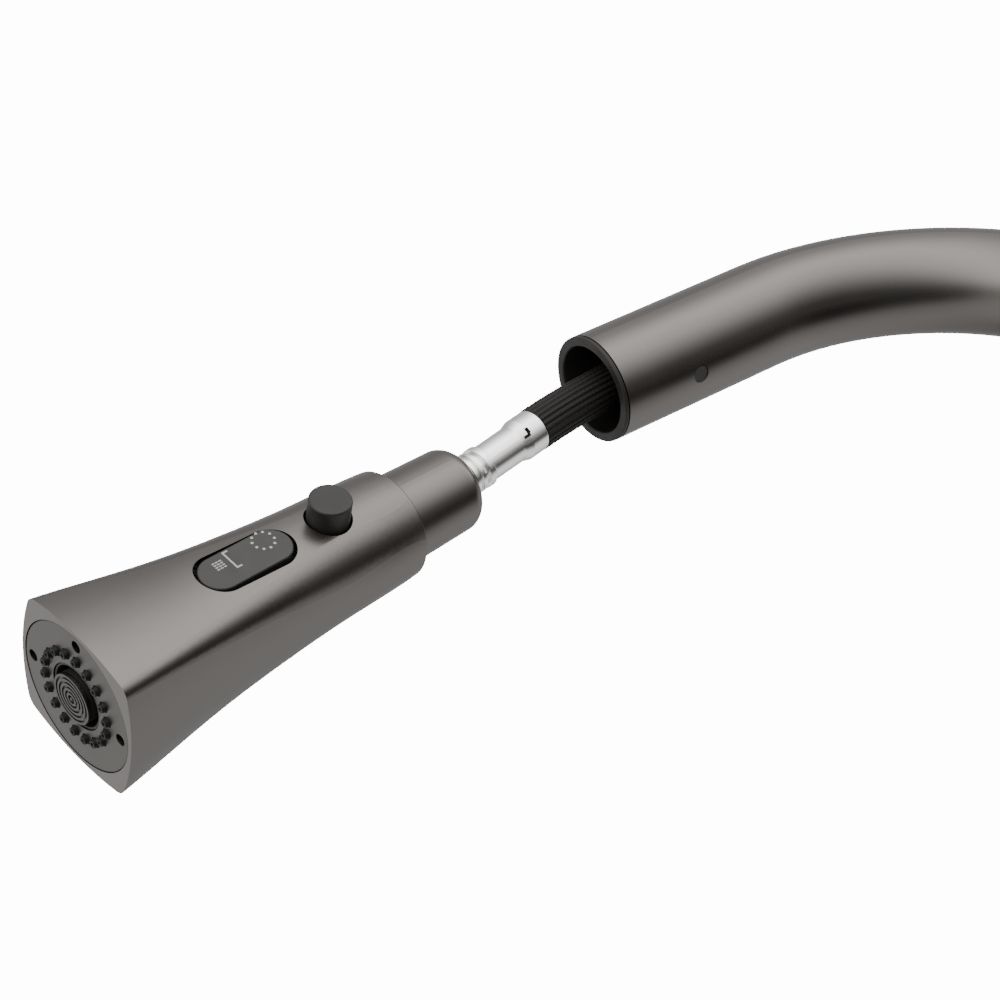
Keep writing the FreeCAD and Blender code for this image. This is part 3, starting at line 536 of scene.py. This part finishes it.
def make_camera():
    data = bpy.data.cameras.new("camera")
    data.sensor_width = SENSOR_WIDTH
    data.lens = SENSOR_WIDTH * LENS_PER_SENSOR
    data.clip_start = 0.01
    camera = bpy.data.objects.new("camera", data)
    back = CAMERA_BACK.normalized()
    right = (CAMERA_RIGHT - back * CAMERA_RIGHT.dot(back)).normalized()
    up = back.cross(right)
    turn = Matrix((right, up, back)).transposed().to_4x4()
    camera.matrix_world = Matrix.Translation(CAMERA_PLACE) @ turn
    bpy.context.scene.collection.objects.link(camera)
    bpy.context.scene.camera = camera
    return right, up, back


# how bright the studio is round the line of the faucet: stops of (degrees, brightness), where 0 is
# the camera's own side, up over the object is above nought and down under it below
STUDIO = (
    (-180, 0.75), (-151, 0.50), (-138, 0.70), (-121, 1.00), (-104, 1.18), (-84, 1.12), (-72, 0.92),
    (-64, 0.50), (-57, 0.10), (-44, 0.04), (-31, 0.06), (-23, 0.17), (-16, 0.36), (-10, 0.62),
    (-3, 1.00), (5, 1.50), (12, 2.00), (20, 2.60), (29, 3.15), (43, 3.60), (57, 4.00), (67, 3.40),
    (75, 2.75), (82, 2.25), (91, 1.70), (100, 1.30), (109, 1.00), (123, 0.65), (140, 0.60), (180, 0.75))
STUDIO_PEAK = 4.0
END_GLOW = 1.30                 # the studio's end, past the spray face
END_GLOW_RANGE = (0.60, 0.85)   # how far along the faucet's line the end begins and is full
OVER_UP, OVER_RIGHT = 0.913, 0.407
FACING_LEAN = 0.52              # how far the studio's near side leans along the faucet
BACKDROP_STRENGTH = 14.0        # the white that only the camera sees


def make_world(right, up, back):
    """A white studio: one long soft source over the faucet, a dark strip and a paler side below."""
    world = bpy.data.worlds.new("studio")
    bpy.context.scene.world = world
    world.use_nodes = True
    tree = world.node_tree
    tree.nodes.clear()
    new, link = tree.nodes.new, tree.links.new
    place = new("ShaderNodeTexCoord")
    over = (up * OVER_UP - right * OVER_RIGHT).normalized()
    along = over.cross(back)
    facing = back + along * FACING_LEAN

    def part_along(direction):
        dot = new("ShaderNodeVectorMath")
        dot.operation = "DOT_PRODUCT"
        link(place.outputs["Generated"], dot.inputs[0])
        dot.inputs[1].default_value = direction
        return dot.outputs["Value"]

    def spread(source, low, high, out_low=0.0, out_high=1.0):
        node = new("ShaderNodeMapRange")
        for socket, value in zip(("From Min", "From Max", "To Min", "To Max"),
                                 (low, high, out_low, out_high)):
            node.inputs[socket].default_value = value
        link(source, node.inputs["Value"])
        return node.outputs["Result"]

    turn = new("ShaderNodeMath")
    turn.operation = "ARCTAN2"
    link(part_along(over), turn.inputs[0])
    link(part_along(facing), turn.inputs[1])
    ramp = new("ShaderNodeValToRGB")
    elements = ramp.color_ramp.elements
    while len(elements) < len(STUDIO):
        elements.new(0.5)
    for element, (degrees, value) in zip(elements, STUDIO):
        element.position = (degrees + 180) / 360
        element.color = (*[value / STUDIO_PEAK] * 3, 1)
    link(spread(turn.outputs[0], -math.pi, math.pi), ramp.inputs["Fac"])
    mix = new("ShaderNodeMixRGB")
    link(spread(part_along(-along), *END_GLOW_RANGE), mix.inputs["Fac"])
    link(ramp.outputs["Color"], mix.inputs["Color1"])
    mix.inputs["Color2"].default_value = (*[END_GLOW / STUDIO_PEAK] * 3, 1)
    room = new("ShaderNodeBackground")
    room.inputs["Strength"].default_value = STUDIO_PEAK
    link(mix.outputs["Color"], room.inputs["Color"])
    backdrop = new("ShaderNodeBackground")
    backdrop.inputs["Color"].default_value = (1, 1, 1, 1)
    backdrop.inputs["Strength"].default_value = BACKDROP_STRENGTH
    seen = new("ShaderNodeLightPath")
    shown = new("ShaderNodeMixShader")
    output = new("ShaderNodeOutputWorld")
    link(seen.outputs["Is Camera Ray"], shown.inputs["Fac"])
    link(room.outputs["Background"], shown.inputs[1])
    link(backdrop.outputs["Background"], shown.inputs[2])
    link(shown.outputs["Shader"], output.inputs["Surface"])


make_floor()
make_world(*make_camera())
